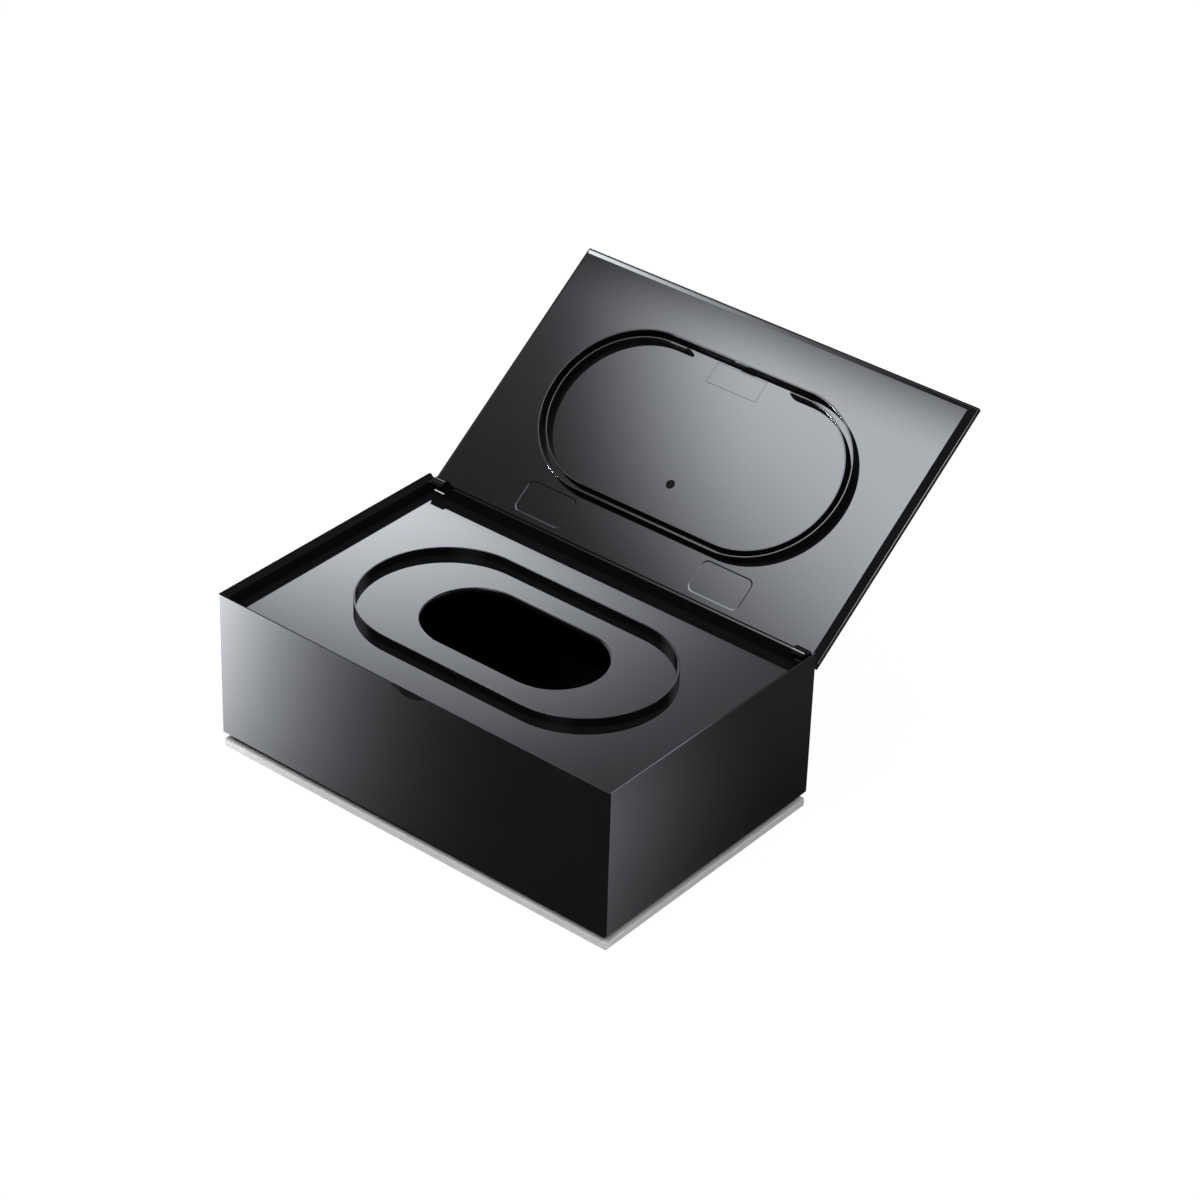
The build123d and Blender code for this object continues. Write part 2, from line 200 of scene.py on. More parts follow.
def mesh_from(bm, name):
    """An object from a bmesh, without the CAD mesh's own normals and materials."""
    me = bpy.data.meshes.new(name)
    bm.to_mesh(me)
    bm.free()
    for a in ("custom_normal", "sharp_face", "sharp_edge"):
        if a in me.attributes:
            me.attributes.remove(me.attributes[a])
    me.materials.clear()
    return link(name, me)


def cut(bm, place, normal, parts=None):
    """Cuts all of a mesh, or only some parts of it, along a plane."""
    geom = parts or bm.verts[:] + bm.edges[:] + bm.faces[:]
    bmesh.ops.bisect_plane(bm, geom=geom, plane_co=place, plane_no=normal, dist=FINE)


def quarter_round(radius, along):
    """How far a round edge stands back at a distance along it from its outer end."""
    return radius - math.sqrt(max(0.0, radius ** 2 - (radius - along) ** 2))


def strip(bm, test):
    """Takes away the faces that test names and closes the flat face under them."""
    gone = [f for f in bm.faces if test(f.calc_center_median())]
    bmesh.ops.delete(bm, geom=gone, context="FACES")
    bmesh.ops.triangle_fill(bm, use_beauty=True, edges=[e for e in bm.edges if len(e.link_faces) == 1])
    bmesh.ops.recalc_face_normals(bm, faces=bm.faces)
    if any(len(e.link_faces) != 2 for e in bm.edges):
        raise RuntimeError("a flat face stayed open")


def soft_step(bm, centre, half, level, reach):
    """Turns the upright step round a shallow mark into a gentle slope of three strips."""
    floor = [
        v for v in bm.verts
        if abs(v.co.z - level) < SAME and all(abs(v.co[k] - centre[k]) < half[k] + 10 * SAME for k in (0, 1))
    ]
    walls = {e for v in floor for e in v.link_edges if abs(e.other_vert(v).co.z - level) > SAME}
    for v in floor:
        for k in (0, 1):
            v.co[k] = centre[k] + (v.co[k] - centre[k]) * (1 - reach / half[k])
    bmesh.ops.subdivide_edges(bm, edges=list(walls), cuts=2)


def groove(bm, face, width, level):
    """Leaves only a fine groove with sloping sides along the outline of a shallow mark."""
    centre = face.calc_center_median()
    for v in face.verts:
        for k in (0, 1):
            v.co[k] -= math.copysign(width / 2, v.co[k] - centre[k])
    bmesh.ops.inset_individual(bm, faces=[face], thickness=width / 2)
    for v in face.verts:
        v.co.z = level


def fine_ledge(bm, wall_y, level, depth):
    """Steps a wall back above a level, which leaves a fine ledge along it."""
    def wall_faces():
        return [f for f in bm.faces if abs(f.normal.y) > 0.999 and abs(f.calc_center_median().y - wall_y) < SAME]

    if not any(v.co.z > level for f in wall_faces() for v in f.verts):
        raise RuntimeError("the rear wall's inner face was not found")
    for height in (level, level + LEDGE_STEP):
        parts = {part for f in wall_faces() for part in (f, *f.edges, *f.verts)}
        cut(bm, (0, 0, height), (0, 0, 1), list(parts))
    for v in bm.verts:
        if abs(v.co.y - wall_y) < SAME and v.co.z > level + LEDGE_STEP / 2:
            v.co.y += depth


def rounded_rim(bm, level, radius):
    """Rounds the outer edge of a box's open top at level."""
    for share in (0.06, 0.16, 0.3, 0.5, 0.75, 1.0):
        cut(bm, (0, 0, level - share * radius), (0, 0, 1))
    bm.normal_update()
    moves = []
    for v in bm.verts:
        depth = level - v.co.z
        sides = [f.normal for f in v.link_faces if abs(f.normal.z) < 0.02 and f.normal.dot(v.co.xy.to_3d()) > 0]
        if depth < radius - FINE and sides:
            moves.append((v, sum(sides, Vector()).xy.normalized().to_3d() * quarter_round(radius, depth)))
    for v, move in moves:
        v.co -= move


def rounded_front(bm, front, level, radius):
    """Rounds the front edge of the face at level towards the piece's thickness."""
    for share in (0.04, 0.1, 0.18, 0.28, 0.4, 0.55, 0.75, 1.0):
        cut(bm, (0, front + share * radius, 0), (0, 1, 0))
    for v in bm.verts:
        if abs(v.co.z - level) < SAME and v.co.y < front + radius:
            v.co.z = level + quarter_round(radius, v.co.y - front)


def oval(length, width, steps=96, gap=0.0):
    """Points of a path of straight sides and half circles, from the middle of its front side or from a gap there."""
    r = width / 2
    half = length / 2 - r
    ends = [gap / 2 + d * MM for d in (0.0, 0.08, 0.25, 0.5, 0.9, 1.4, 2.0)] if gap else []
    points = [(x, -r) for x in ends] or [(0.0, -r)]
    for side, begin in ((half, -math.pi / 2), (-half, math.pi / 2)):
        for k in range(steps + 1):
            a = begin + math.pi * k / steps
            points.append((side + r * math.cos(a), r * math.sin(a)))
    return points + [(-x, -r) for x in reversed(ends)]


# Geometry trees

def wire(tree, *joins):
    """Links nodes: each join is a node, its output, the next node and its input."""
    for a, output, b, entry in joins:
        tree.links.new(a.outputs[output], b.inputs[entry])


def socket(tree, name, kind, value=None, subtype=None, in_out="INPUT"):
    """A new input or output of a node group."""
    s = tree.interface.new_socket(name, in_out=in_out, socket_type="NodeSocket" + kind)
    if value is not None:
        s.default_value = value
    if subtype:
        s.subtype = subtype
    return s


def node_tree_wall():
    """A wall that follows a wire: its thickness, height, edge round and material are inputs."""
    tree = bpy.data.node_groups.new("wall_on_path", "GeometryNodeTree")
    socket(tree, "Path", "Geometry")
    for name, value in (("Thickness", 0.0007), ("Height", 0.0033), ("Edge round", 0.0002)):
        socket(tree, name, "Float", value, "DISTANCE").min_value = 0.0
    socket(tree, "Material", "Material")
    socket(tree, "Wall", "Geometry", in_out="OUTPUT")
    new = tree.nodes.new
    given, result = new("NodeGroupInput"), new("NodeGroupOutput")
    curve = new("GeometryNodeMeshToCurve")
    upright = new("GeometryNodeSetCurveNormal")
    upright.mode = "Z_UP"
    profile = new("GeometryNodeCurvePrimitiveQuadrilateral")
    fillet = new("GeometryNodeFilletCurve")
    fillet.mode = "POLY"
    fillet.inputs["Count"].default_value = 4
    sweep = new("GeometryNodeCurveToMesh")
    sweep.inputs["Fill Caps"].default_value = True
    smooth = new("GeometryNodeSetShadeSmooth")
    real = new("GeometryNodeRealizeInstances")
    finish = new("GeometryNodeSetMaterial")
    wire(
        tree,
        (given, "Path", curve, "Mesh"),
        (curve, "Curve", upright, "Curve"),
        (given, "Thickness", profile, "Width"),
        (given, "Height", profile, "Height"),
        (profile, "Curve", fillet, "Curve"),
        (given, "Edge round", fillet, "Radius"),
        (upright, "Curve", sweep, "Curve"),
        (fillet, "Curve", sweep, "Profile Curve"),
        (sweep, "Mesh", smooth, "Geometry"),
        (smooth, "Geometry", real, "Geometry"),
        (real, "Geometry", finish, "Geometry"),
        (given, "Material", finish, "Material"),
        (finish, "Geometry", result, "Wall"),
    )
    return tree


def node_tree_set():
    """Sets a body down on every point of a mesh: the body, its turn and its material are inputs."""
    tree = bpy.data.node_groups.new("set_on_points", "GeometryNodeTree")
    socket(tree, "Points", "Geometry")
    socket(tree, "Body", "Object")
    socket(tree, "Turn", "Float", subtype="ANGLE")
    socket(tree, "Material", "Material")
    socket(tree, "Set", "Geometry", in_out="OUTPUT")
    new = tree.nodes.new
    given, result = new("NodeGroupInput"), new("NodeGroupOutput")
    body = new("GeometryNodeObjectInfo")
    put = new("GeometryNodeInstanceOnPoints")
    index = new("GeometryNodeInputIndex")
    times = new("ShaderNodeMath")
    times.operation = "MULTIPLY"
    turn = new("ShaderNodeCombineXYZ")
    real = new("GeometryNodeRealizeInstances")
    finish = new("GeometryNodeSetMaterial")
    wire(
        tree,
        (given, "Points", put, "Points"),
        (given, "Body", body, "Object"),
        (body, "Geometry", put, "Instance"),
        (index, "Index", times, 0),
        (given, "Turn", times, 1),
        (times, 0, turn, "Z"),
        (turn, "Vector", put, "Rotation"),
        (put, "Instances", real, "Geometry"),
        (real, "Geometry", finish, "Geometry"),
        (given, "Material", finish, "Material"),
        (finish, "Geometry", result, "Set"),
    )
    return tree


def add_tree(ob, tree, values):
    """Adds a node group to an object and sets its inputs by name."""
    modifier = ob.modifiers.new("tree", "NODES")
    modifier.node_group = tree
    for item in tree.interface.items_tree:
        if item.item_type == "SOCKET" and item.in_out == "INPUT" and item.name in values:
            modifier[item.identifier] = values[item.name]


# Pieces

def wall_piece(name, points, level, thickness, height, edge, material, place, closed=True, end_round=0.0):
    """A wall along an oval path, centred on level and set down by place. Free ends are rounded at their lower edge."""
    me = bpy.data.meshes.new(name)
    n = len(points)
    edges = [(k, k + 1) for k in range(n - 1)] + ([(n - 1, 0)] if closed else [])
    me.from_pydata([(x, y, level) for x, y in points], edges, [])
    ob = link(name, me)
    tree = bpy.data.node_groups.get("wall_on_path") or node_tree_wall()
    add_tree(ob, tree, {"Thickness": thickness, "Height": height, "Edge round": edge, "Material": material})
    settle(ob)
    bm = bmesh.new()
    bm.from_mesh(ob.data)
    bmesh.ops.remove_doubles(bm, verts=bm.verts, dist=FINE)
    bmesh.ops.recalc_face_normals(bm, faces=bm.faces)
    for v in bm.verts if end_round else ():
        along = abs(v.co.x) - points[0][0]
        if v.co.y < 0 and along < end_round and v.co.z < level:
            v.co.z += quarter_round(end_round, max(along, 0.0))
    bm.to_mesh(ob.data)
    bm.free()
    ob.data.transform(place)
    return even_normals(ob)


def oval_wall(name, w, length, width, height, root, way, place, gap=0.0):
    """A thin oval wall that stands on the level root and runs way, 1 for up or -1 for down."""
    tall = height + SINK
    return wall_piece(
        name, oval(length - w.wall, width - w.wall, gap=gap), root + way * (tall / 2 - SINK),
        w.wall, tall, w.wall_edge, finish_of("polished_black"), place,
        closed=not gap, end_round=RIB_END_ROUND if gap else 0.0)


def lug(name, half_length, y, bottom, top, place):
    """A small moulded lug with rounded edges."""
    low, high = (-half_length, y - LUG_HALF_DEPTH, bottom), (half_length, y + LUG_HALF_DEPTH, top)
    bm = bmesh.new()
    bmesh.ops.create_cube(bm, size=1.0)
    for v in bm.verts:
        v.co = Vector([(a + b) / 2 + c * (b - a) for a, b, c in zip(low, high, v.co)])
    bmesh.ops.bevel(bm, geom=list(bm.edges), offset=LUG_EDGE, segments=3, profile=0.5, affect="EDGES")
    bm.transform(place)
    ob = mesh_from(bm, name)
    ob.data.shade_smooth()
    return even_normals(ob)


def turned(name, profile, steps=40):
    """A closed body turned about Z from radius and height pairs that start and end on the axis."""
    bm = bmesh.new()
    turns = [2 * math.pi * k / steps for k in range(steps)]
    rings = [
        [bm.verts.new((r * math.cos(a), r * math.sin(a), z)) for a in (turns if r else (0.0,))]
        for r, z in profile
    ]
    for a, b in zip(rings, rings[1:]):
        for k in range(steps):
            j = (k + 1) % steps
            corner = [a[k % len(a)], a[j % len(a)], b[j % len(b)], b[k % len(b)]]
            bm.faces.new([v for i, v in enumerate(corner) if v not in corner[:i]])
    bmesh.ops.recalc_face_normals(bm, faces=bm.faces)
    return mesh_from(bm, name)


def screw(length):
    """A screw that stands on its head: pan head with a cross recess below, threaded shank above."""
    r, h, radius, pitch = SCREW_HEAD_RADIUS, SCREW_HEAD_HEIGHT, SCREW_RADIUS, SCREW_PITCH
    head = [
        (0.0, -h), (0.55 * r, -h), (0.78 * r, -0.9 * h), (0.92 * r, -0.68 * h),
        (r, -0.38 * h), (r, -0.06 * h), (0.985 * r, 0.0), (radius, 0.0),
    ]
    thread, z = [], pitch
    while z + pitch < length - 0.7 * MM:
        thread += [(0.8 * radius, z), (radius, z + pitch / 2), (0.8 * radius, z + pitch)]
        z += pitch
    tip = [(0.78 * radius, length - 0.6 * MM), (0.4 * radius, length), (0.0, length)]
    ob = turned("screw", head + thread + tip)
    cutters = []
    for a, b in ((RECESS_LENGTH, RECESS_WIDTH), (RECESS_WIDTH, RECESS_LENGTH)):
        bm = bmesh.new()
        bmesh.ops.create_cube(bm, size=1.0)
        for v in bm.verts:
            v.co = Vector((v.co.x * a, v.co.y * b, -h + v.co.z * 2 * RECESS_DEPTH))
        cutters.append(mesh_from(bm, "recess"))
        recess = ob.modifiers.new("recess", "BOOLEAN")
        recess.object = cutters[-1]
        recess.solver = "EXACT"
    settle(ob)
    for c in cutters:
        bpy.data.objects.remove(c, do_unlink=True)
    ob.data.shade_smooth()
    return even_normals(ob)


def foot(radius):
    """A round foot with three fine grooves below."""
    below = [(0.0, 0.0)]
    for groove_radius in (2.0 * MM, 4.0 * MM, 6.0 * MM):
        for step, depth in ((-0.15, 0.0), (-0.05, 0.12), (0.05, 0.12), (0.15, 0.0)):
            below.append((groove_radius + step * MM, depth * MM))
    side = [
        (radius - 0.3 * MM, 0.0), (radius - 0.09 * MM, 0.09 * MM), (radius, 0.3 * MM),
        (radius, 1.15 * MM), (radius - 0.05 * MM, 1.2 * MM), (0.0, 1.2 * MM),
    ]
    ob = turned("foot", below + side, steps=72)
    ob.data.shade_smooth()
    return even_normals(ob)


def set_piece(name, body, places, turn, material):
    """Copies of one body at several places, each turned a little further, as one piece."""
    me = bpy.data.meshes.new(name)
    me.from_pydata(places, [], [])
    ob = link(name, me)
    tree = bpy.data.node_groups.get("set_on_points") or node_tree_set()
    add_tree(ob, tree, {"Body": body, "Turn": turn, "Material": material})
    settle(ob)
    bpy.data.objects.remove(body, do_unlink=True)
    return ob


# Finishes

def group_skin():
    """Moulded skin: broad sink waves and a fine grain as one normal, and a wear mask."""
    tree = bpy.data.node_groups.new("moulded_skin", "ShaderNodeTree")
    for name, value in (
            ("Wave scale", 14.0), ("Wave height", 0.00002), ("Grain scale", 1600.0), ("Grain height", 0.000001)):
        socket(tree, name, "Float", value)
    socket(tree, "Normal", "Vector", in_out="OUTPUT")
    socket(tree, "Wear", "Float", in_out="OUTPUT")
    new = tree.nodes.new
    given, result = new("NodeGroupInput"), new("NodeGroupOutput")
    place = new("ShaderNodeTexCoord")
    wave, grain, wear = (new("ShaderNodeTexNoise") for _ in range(3))
    wave.inputs["Detail"].default_value = 1.0
    grain.inputs["Detail"].default_value = 2.0
    wear.inputs["Scale"].default_value = 38.0
    wear.inputs["Detail"].default_value = 6.0
    wear.inputs["Roughness"].default_value = 0.62
    broad, fine = new("ShaderNodeBump"), new("ShaderNodeBump")
    for bump in (broad, fine):
        bump.inputs["Strength"].default_value = 1.0
    wire(
        tree,
        *((place, "Object", noise, "Vector") for noise in (wave, grain, wear)),
        (given, "Wave scale", wave, "Scale"),
        (given, "Grain scale", grain, "Scale"),
        (given, "Wave height", broad, "Distance"),
        (given, "Grain height", fine, "Distance"),
        (wave, "Fac", broad, "Height"),
        (grain, "Fac", fine, "Height"),
        (broad, "Normal", fine, "Normal"),
        (fine, "Normal", result, "Normal"),
        (wear, "Fac", result, "Wear"),
    )
    return tree


def blank_material(name):
    """A new material without nodes, and its node tree."""
    m = bpy.data.materials.new(name)
    m.use_nodes = True
    m.node_tree.nodes.clear()
    return m, m.node_tree


def ramp(tree, source, low, high, begin, end, kind="LINEAR"):
    """A value that goes from low to high as the source goes from begin to end."""
    m = tree.nodes.new("ShaderNodeMapRange")
    m.interpolation_type = kind
    for name, value in (("From Min", begin), ("From Max", end), ("To Min", low), ("To Max", high)):
        m.inputs[name].default_value = value
    tree.links.new(source, m.inputs["Value"])
    return m.outputs["Result"]


def skin_material(name, wave, grain, rough, colours, wear=(0.3, 0.7), tint_wear=None, **plain):
    """A finish on the moulded skin: scale and height of waves and grain, roughness and colour from clean to worn."""
    m, tree = blank_material(name)
    new = tree.nodes.new
    out, surface = new("ShaderNodeOutputMaterial"), new("ShaderNodeBsdfPrincipled")
    skin = new("ShaderNodeGroup")
    skin.node_tree = bpy.data.node_groups.get("moulded_skin") or group_skin()
    for entry, value in zip(("Wave scale", "Wave height", "Grain scale", "Grain height"), (*wave, *grain)):
        skin.inputs[entry].default_value = value
    worn = skin.outputs["Wear"]
    tree.links.new(ramp(tree, worn, *rough, *wear), surface.inputs["Roughness"])
    tint = new("ShaderNodeMix")
    tint.data_type = "RGBA"
    for entry, colour in zip("AB", colours):
        tint.inputs[entry].default_value = (*colour, 1.0)
    tree.links.new(ramp(tree, worn, 0.0, 1.0, *tint_wear) if tint_wear else worn, tint.inputs["Factor"])
    wire(
        tree,
        (skin, "Normal", surface, "Normal"),
        (tint, "Result", surface, "Base Color"),
        (surface, "BSDF", out, "Surface"),
    )
    for entry, value in plain.items():
        surface.inputs[entry.replace("_", " ")].default_value = value
    return m


STEEL = {"rough": (0.18, 0.34), "Metallic": 1.0}
SILICONE = {"wave": (60.0, 0.00003), "grain": (3600.0, 0.00003), "rough": (0.62, 0.82)}
FINISHES = {
    # Polished black mouldings: a mirror skin with faint sink waves and hazy handling wear
    "polished_black": {
        "wave": (16.0, 0.000006), "grain": (1500.0, 0.0000002), "rough": (0.018, 0.052), "wear": (0.35, 0.7),
        "colours": ((0.0032, 0.0032, 0.0036), (0.0046, 0.0046, 0.0050)), "tint_wear": (0.3, 0.75), "IOR": 1.5},
    # Fine matt black of the tray, kept extra dark: its own black and also painted shade in the gap under the sleeve
    "satin_black": {
        "wave": (30.0, 0.00001), "grain": (2600.0, 0.00004), "rough": (0.42, 0.6),
        "colours": ((0.006, 0.006, 0.0065), (0.012, 0.012, 0.0125)), "Specular_IOR_Level": 0.25},
    # Torn, dull black of the gate mark
    "gate_black": {
        "wave": (900.0, 0.00012), "grain": (3000.0, 0.00003), "rough": (0.4, 0.6),
        "colours": ((0.003, 0.003, 0.003), (0.008, 0.008, 0.008)), "Specular_IOR_Level": 0.04},
    # Darker, rougher and less reflective copy of the gloss black for the ribs' upright sides: painted shade that keeps
    # them dark
    "wall_black": {
        "wave": (60.0, 0.000004), "grain": (2600.0, 0.00001), "rough": (0.36, 0.5),
        "colours": ((0.0026, 0.0026, 0.0028), (0.0050, 0.0050, 0.0052)), "Specular_IOR_Level": 0.12},
    # Fine matt pale grey of the base plate
    "satin_grey": {
        "wave": (20.0, 0.00001), "grain": (3000.0, 0.00002), "rough": (0.34, 0.5),
        "colours": ((0.46, 0.46, 0.46), (0.54, 0.54, 0.54))},
    "seal_silicone": {"colours": ((0.02, 0.02, 0.021), (0.034, 0.034, 0.036)), **SILICONE},
    "foot_silicone": {"colours": ((0.036, 0.036, 0.038), (0.056, 0.056, 0.058)), **SILICONE},
    # Ground pins and plated screws with fine turning lines
    "pin_steel": {
        "wave": (80.0, 0.00001), "grain": (2200.0, 0.000004),
        "colours": ((0.56, 0.56, 0.58), (0.66, 0.66, 0.68)), **STEEL},
    "screw_steel": {
        "wave": (80.0, 0.00001), "grain": (1800.0, 0.000004),
        "colours": ((0.48, 0.48, 0.5), (0.6, 0.6, 0.62)), **STEEL},
}


def finish_of(name):
    """The finish of that name, made when it is first asked for."""
    return bpy.data.materials.get(name) or skin_material(name, **FINISHES[name])


def dress(ob, material, body, slot, *nodes):
    """Gives a new piece its finish and its body, and hides the CAD nodes that it stands for. The slot is not used."""
    if not ob.data.materials:
        ob.data.materials.append(finish_of(material))
    else:
        for k in range(len(ob.data.materials)):
            ob.data.materials[k] = finish_of(material)
    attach(ob, body)
    if nodes:
        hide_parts(*nodes)
    return ob


def second_finish(ob, material, test):
    """Gives the faces that test picks another finish."""
    ob.data.materials.append(finish_of(material))
    for face in ob.data.polygons:
        if test(face):
            face.material_index = len(ob.data.materials) - 1


# Sizes that a user would change

LENGTH = {"subtype": "DISTANCE", "unit": "LENGTH"}


class BoxEdges(bpy.types.PropertyGroup):
    sleeve_edge: bpy.props.FloatProperty(
        name="Sleeve edge", description="Round of the sleeve's moulded edges", default=0.00012, **LENGTH)
    rim_edge: bpy.props.FloatProperty(
        name="Rim edge", description="Round of the sleeve's upper outer edge", default=0.00024, **LENGTH)
    rear_ledge: bpy.props.FloatProperty(
        name="Rear ledge", description="Depth of the fine ledge along the rear wall's inner face", default=0.00007,
        **LENGTH)
    plate_edge: bpy.props.FloatProperty(
        name="Plate edge", description="Round of the flat plates' edges", default=0.00008, **LENGTH)
    mark_slope: bpy.props.FloatProperty(
        name="Mark slope", description="Reach of the slope round the sunken marks on the lid's panel", default=0.0006,
        **LENGTH)
    mark_groove: bpy.props.FloatProperty(
        name="Mark groove", description="Width of the fine groove round the plain rectangle", default=0.00018,
        **LENGTH)
    cover_round: bpy.props.FloatProperty(
        name="Cover round", description="Round of the lid cover's front edge on its inner side", default=0.0009,
        **LENGTH)


class BoxWalls(bpy.types.PropertyGroup):
    wall: bpy.props.FloatProperty(
        name="Wall", description="Thickness of the collar and of the lid's ribs", default=0.0007, **LENGTH)
    wall_edge: bpy.props.FloatProperty(
        name="Wall edge", description="Round of the walls' free edges", default=0.0002, **LENGTH)
    collar_length: bpy.props.FloatProperty(
        name="Collar length", description="Outer length of the collar", default=0.1442, **LENGTH)
    collar_width: bpy.props.FloatProperty(
        name="Collar width", description="Outer width of the collar", default=0.0746, **LENGTH)
    collar_height: bpy.props.FloatProperty(
        name="Collar height", description="Height of the collar above the deck", default=0.0037, **LENGTH)
    outer_length: bpy.props.FloatProperty(
        name="Outer rib length", description="Outer length of the lid's closed rib", default=0.1468, **LENGTH)
    outer_width: bpy.props.FloatProperty(
        name="Outer rib width", description="Outer width of the lid's closed rib", default=0.078, **LENGTH)
    outer_height: bpy.props.FloatProperty(
        name="Outer rib height", description="Height of the lid's closed rib", default=0.0041, **LENGTH)
    inner_length: bpy.props.FloatProperty(
        name="Inner rib length", description="Outer length of the lid's open rib", default=0.1402, **LENGTH)
    inner_width: bpy.props.FloatProperty(
        name="Inner rib width", description="Outer width of the lid's open rib", default=0.0718, **LENGTH)
    inner_height: bpy.props.FloatProperty(
        name="Inner rib height", description="Height of the lid's open rib", default=0.0035, **LENGTH)
    inner_gap: bpy.props.FloatProperty(
        name="Rib gap", description="Gap in the lid's open rib at the front", default=0.051, **LENGTH)


class BoxFastenings(bpy.types.PropertyGroup):
    span_x: bpy.props.FloatProperty(
        name="Span across", description="Distance between the screws across the box", default=0.181, **LENGTH)
    span_y: bpy.props.FloatProperty(
        name="Span in depth", description="Distance between the screws from front to rear", default=0.1054, **LENGTH)
    deck_seat: bpy.props.FloatProperty(
        name="Deck screw seat", description="Level of the face that the deck's screw heads bear on", default=0.0534,
        **LENGTH)
    base_seat: bpy.props.FloatProperty(
        name="Base screw seat", description="Level of the face that the base's screw heads bear on", default=0.0026,
        **LENGTH)
    foot_radius: bpy.props.FloatProperty(
        name="Foot radius", description="Radius of a foot", default=0.008, **LENGTH)


# Operators

class WIPES_OT_sleeve(bpy.types.Operator):
    """Makes the sleeve with softened edges"""
    bl_idname = "wipes.sleeve"
    bl_label = "Sleeve"

    def execute(self, context):
        e = context.scene.wipes_edges
        bm = cad_copy("case_shell")
        whole_faces(bm)
        fine_ledge(bm, REAR_WALL, DECK_TOP + LEDGE_HEIGHT, e.rear_ledge)
        rounded_rim(bm, RIM_TOP, e.rim_edge)
        ob = mesh_from(bm, "sleeve")

        def crisp(p):
            return p.z > RIM_TOP - 1.01 * e.rim_edge or inside(p, SCOOP_BOX) or inside(p, LEDGE_BOX)

        soft_edges(ob, e.sleeve_edge, crisp=crisp)
        dress(ob, "polished_black", "case", "gloss_black", "case_shell")
        return {"FINISHED"}


class WIPES_OT_deck(bpy.types.Operator):
    """Makes the deck plate and the collar that stands on it, with its catch"""
    bl_idname = "wipes.deck"
    bl_label = "Deck and collar"

    def execute(self, context):
        w = context.scene.wipes_walls
        bm = cad_copy("deck_plate")
        strip(bm, lambda c: c.z > DECK_TOP + SAME)
        whole_faces(bm)
        ob = mesh_from(bm, "deck")
        soft_edges(ob, context.scene.wipes_edges.plate_edge)
        here = Matrix.Identity(4)
        collar = oval_wall("collar", w, w.collar_length, w.collar_width, w.collar_height, DECK_TOP, 1, here)
        catch = lug(
            "collar_catch", 3.25 * MM, -w.collar_width / 2, DECK_TOP + 2.3 * MM, DECK_TOP + 3.3 * MM, here)
        for piece in (ob, collar, catch):
            dress(piece, "polished_black", "case", "gloss_black", "deck_plate")
        return {"FINISHED"}


class WIPES_OT_lid(bpy.types.Operator):
    """Makes the lid's panel with its marks and knuckles, its two ribs with the hook, and its cover"""
    bl_idname = "wipes.lid"
    bl_label = "Lid"

    def execute(self, context):
        w = context.scene.wipes_walls
        e = context.scene.wipes_edges
        back = LID_FRAME.inverted()
        # panel
        bm = cad_copy("lid_panel")
        bm.transform(back)
        strip(bm, lambda c: c.z < LID_FACE - SAME and abs(c.x) < 80 * MM and c.y < -10 * MM)
        whole_faces(bm)
        for side in (-1, 1):
            soft_step(bm, (side * PAD_AT[0], PAD_AT[1]), PAD_HALF, LID_FACE + PAD_DEPTH, e.mark_slope)
        sunken = LID_FACE + RECTANGLE_DEPTH
        plain = [f for f in bm.faces if abs(f.calc_center_median().z - sunken) < SAME and abs(f.normal.z) > 0.99]
        if len(plain) != 1:
            raise RuntimeError("the plain rectangle was not found")
        groove(bm, plain[0], e.mark_groove, LID_FACE)
        bm.transform(LID_FRAME)
        ob = mesh_from(bm, "lid_inside")
        soft_edges(ob, e.plate_edge, segments=3, crisp=lambda p: inside(back @ p, RECTANGLE_BOX))
        dress(ob, "polished_black", "lid", "gloss_black", "lid_panel")

        def gate(face):
            q = back @ face.center
            near = math.hypot(q.x, q.y - GATE_AT) < GATE_RADIUS
            return near and LID_FACE + 0.1 * MM < q.z < LID_FACE + 0.5 * MM

        second_finish(ob, "gate_black", gate)
        # ribs and hook
        place = LID_FRAME @ Matrix.Translation((0, LID_CENTRE, 0))
        outer = oval_wall("lid_rib_outer", w, w.outer_length, w.outer_width, w.outer_height, LID_FACE, -1, place)
        inner = oval_wall(
            "lid_rib_inner", w, w.inner_length, w.inner_width, w.inner_height, LID_FACE, -1, place, gap=w.inner_gap)
        for rib in (outer, inner):
            dress(rib, "polished_black", "lid", "gloss_black", "lid_panel")
            # The ribs' upright sides take the darker copy of the black: painted shade
            second_finish(rib, "wall_black", lambda face: abs(face.normal.dot(LID_UP)) < 0.5)
        front = LID_CENTRE - w.outer_width / 2 + w.wall
        hook = lug("lid_hook", 3.5 * MM, front, -2.7 * MM, -1.8 * MM, LID_FRAME)
        dress(hook, "polished_black", "lid", "gloss_black", "lid_panel")
        # cover
        bm = cad_copy("lid_cover")
        whole_faces(bm)
        bm.transform(back)
        rounded_front(bm, COVER_FRONT, COVER_FACE, e.cover_round)
        bm.transform(LID_FRAME)
        ob = mesh_from(bm, "lid_top")
        soft_edges(ob, e.plate_edge)
        dress(ob, "polished_black", "lid", "gloss_black", "lid_cover")
        return {"FINISHED"}


class WIPES_OT_base(bpy.types.Operator):
    """Makes the pale base plate and finishes the tray, the seal and the pins"""
    bl_idname = "wipes.base"
    bl_label = "Base"

    def execute(self, context):
        bm = cad_copy("base_plate")
        whole_faces(bm)
        ob = mesh_from(bm, "plinth")
        soft_edges(ob, context.scene.wipes_edges.plate_edge)
        dress(ob, "satin_grey", "base", "matte_grey", "base_plate")
        # The tray's extra dark black is partly painted shade in the gap under the sleeve
        finishes = {
            "base_tray": "satin_black", "base_seal": "seal_silicone",
            "hinge_pin_left": "pin_steel", "hinge_pin_right": "pin_steel",
        }
        for node, material in finishes.items():
            me = frame["nodes"][node].data
            for k in range(len(me.materials)):
                me.materials[k] = finish_of(material)
        return {"FINISHED"}


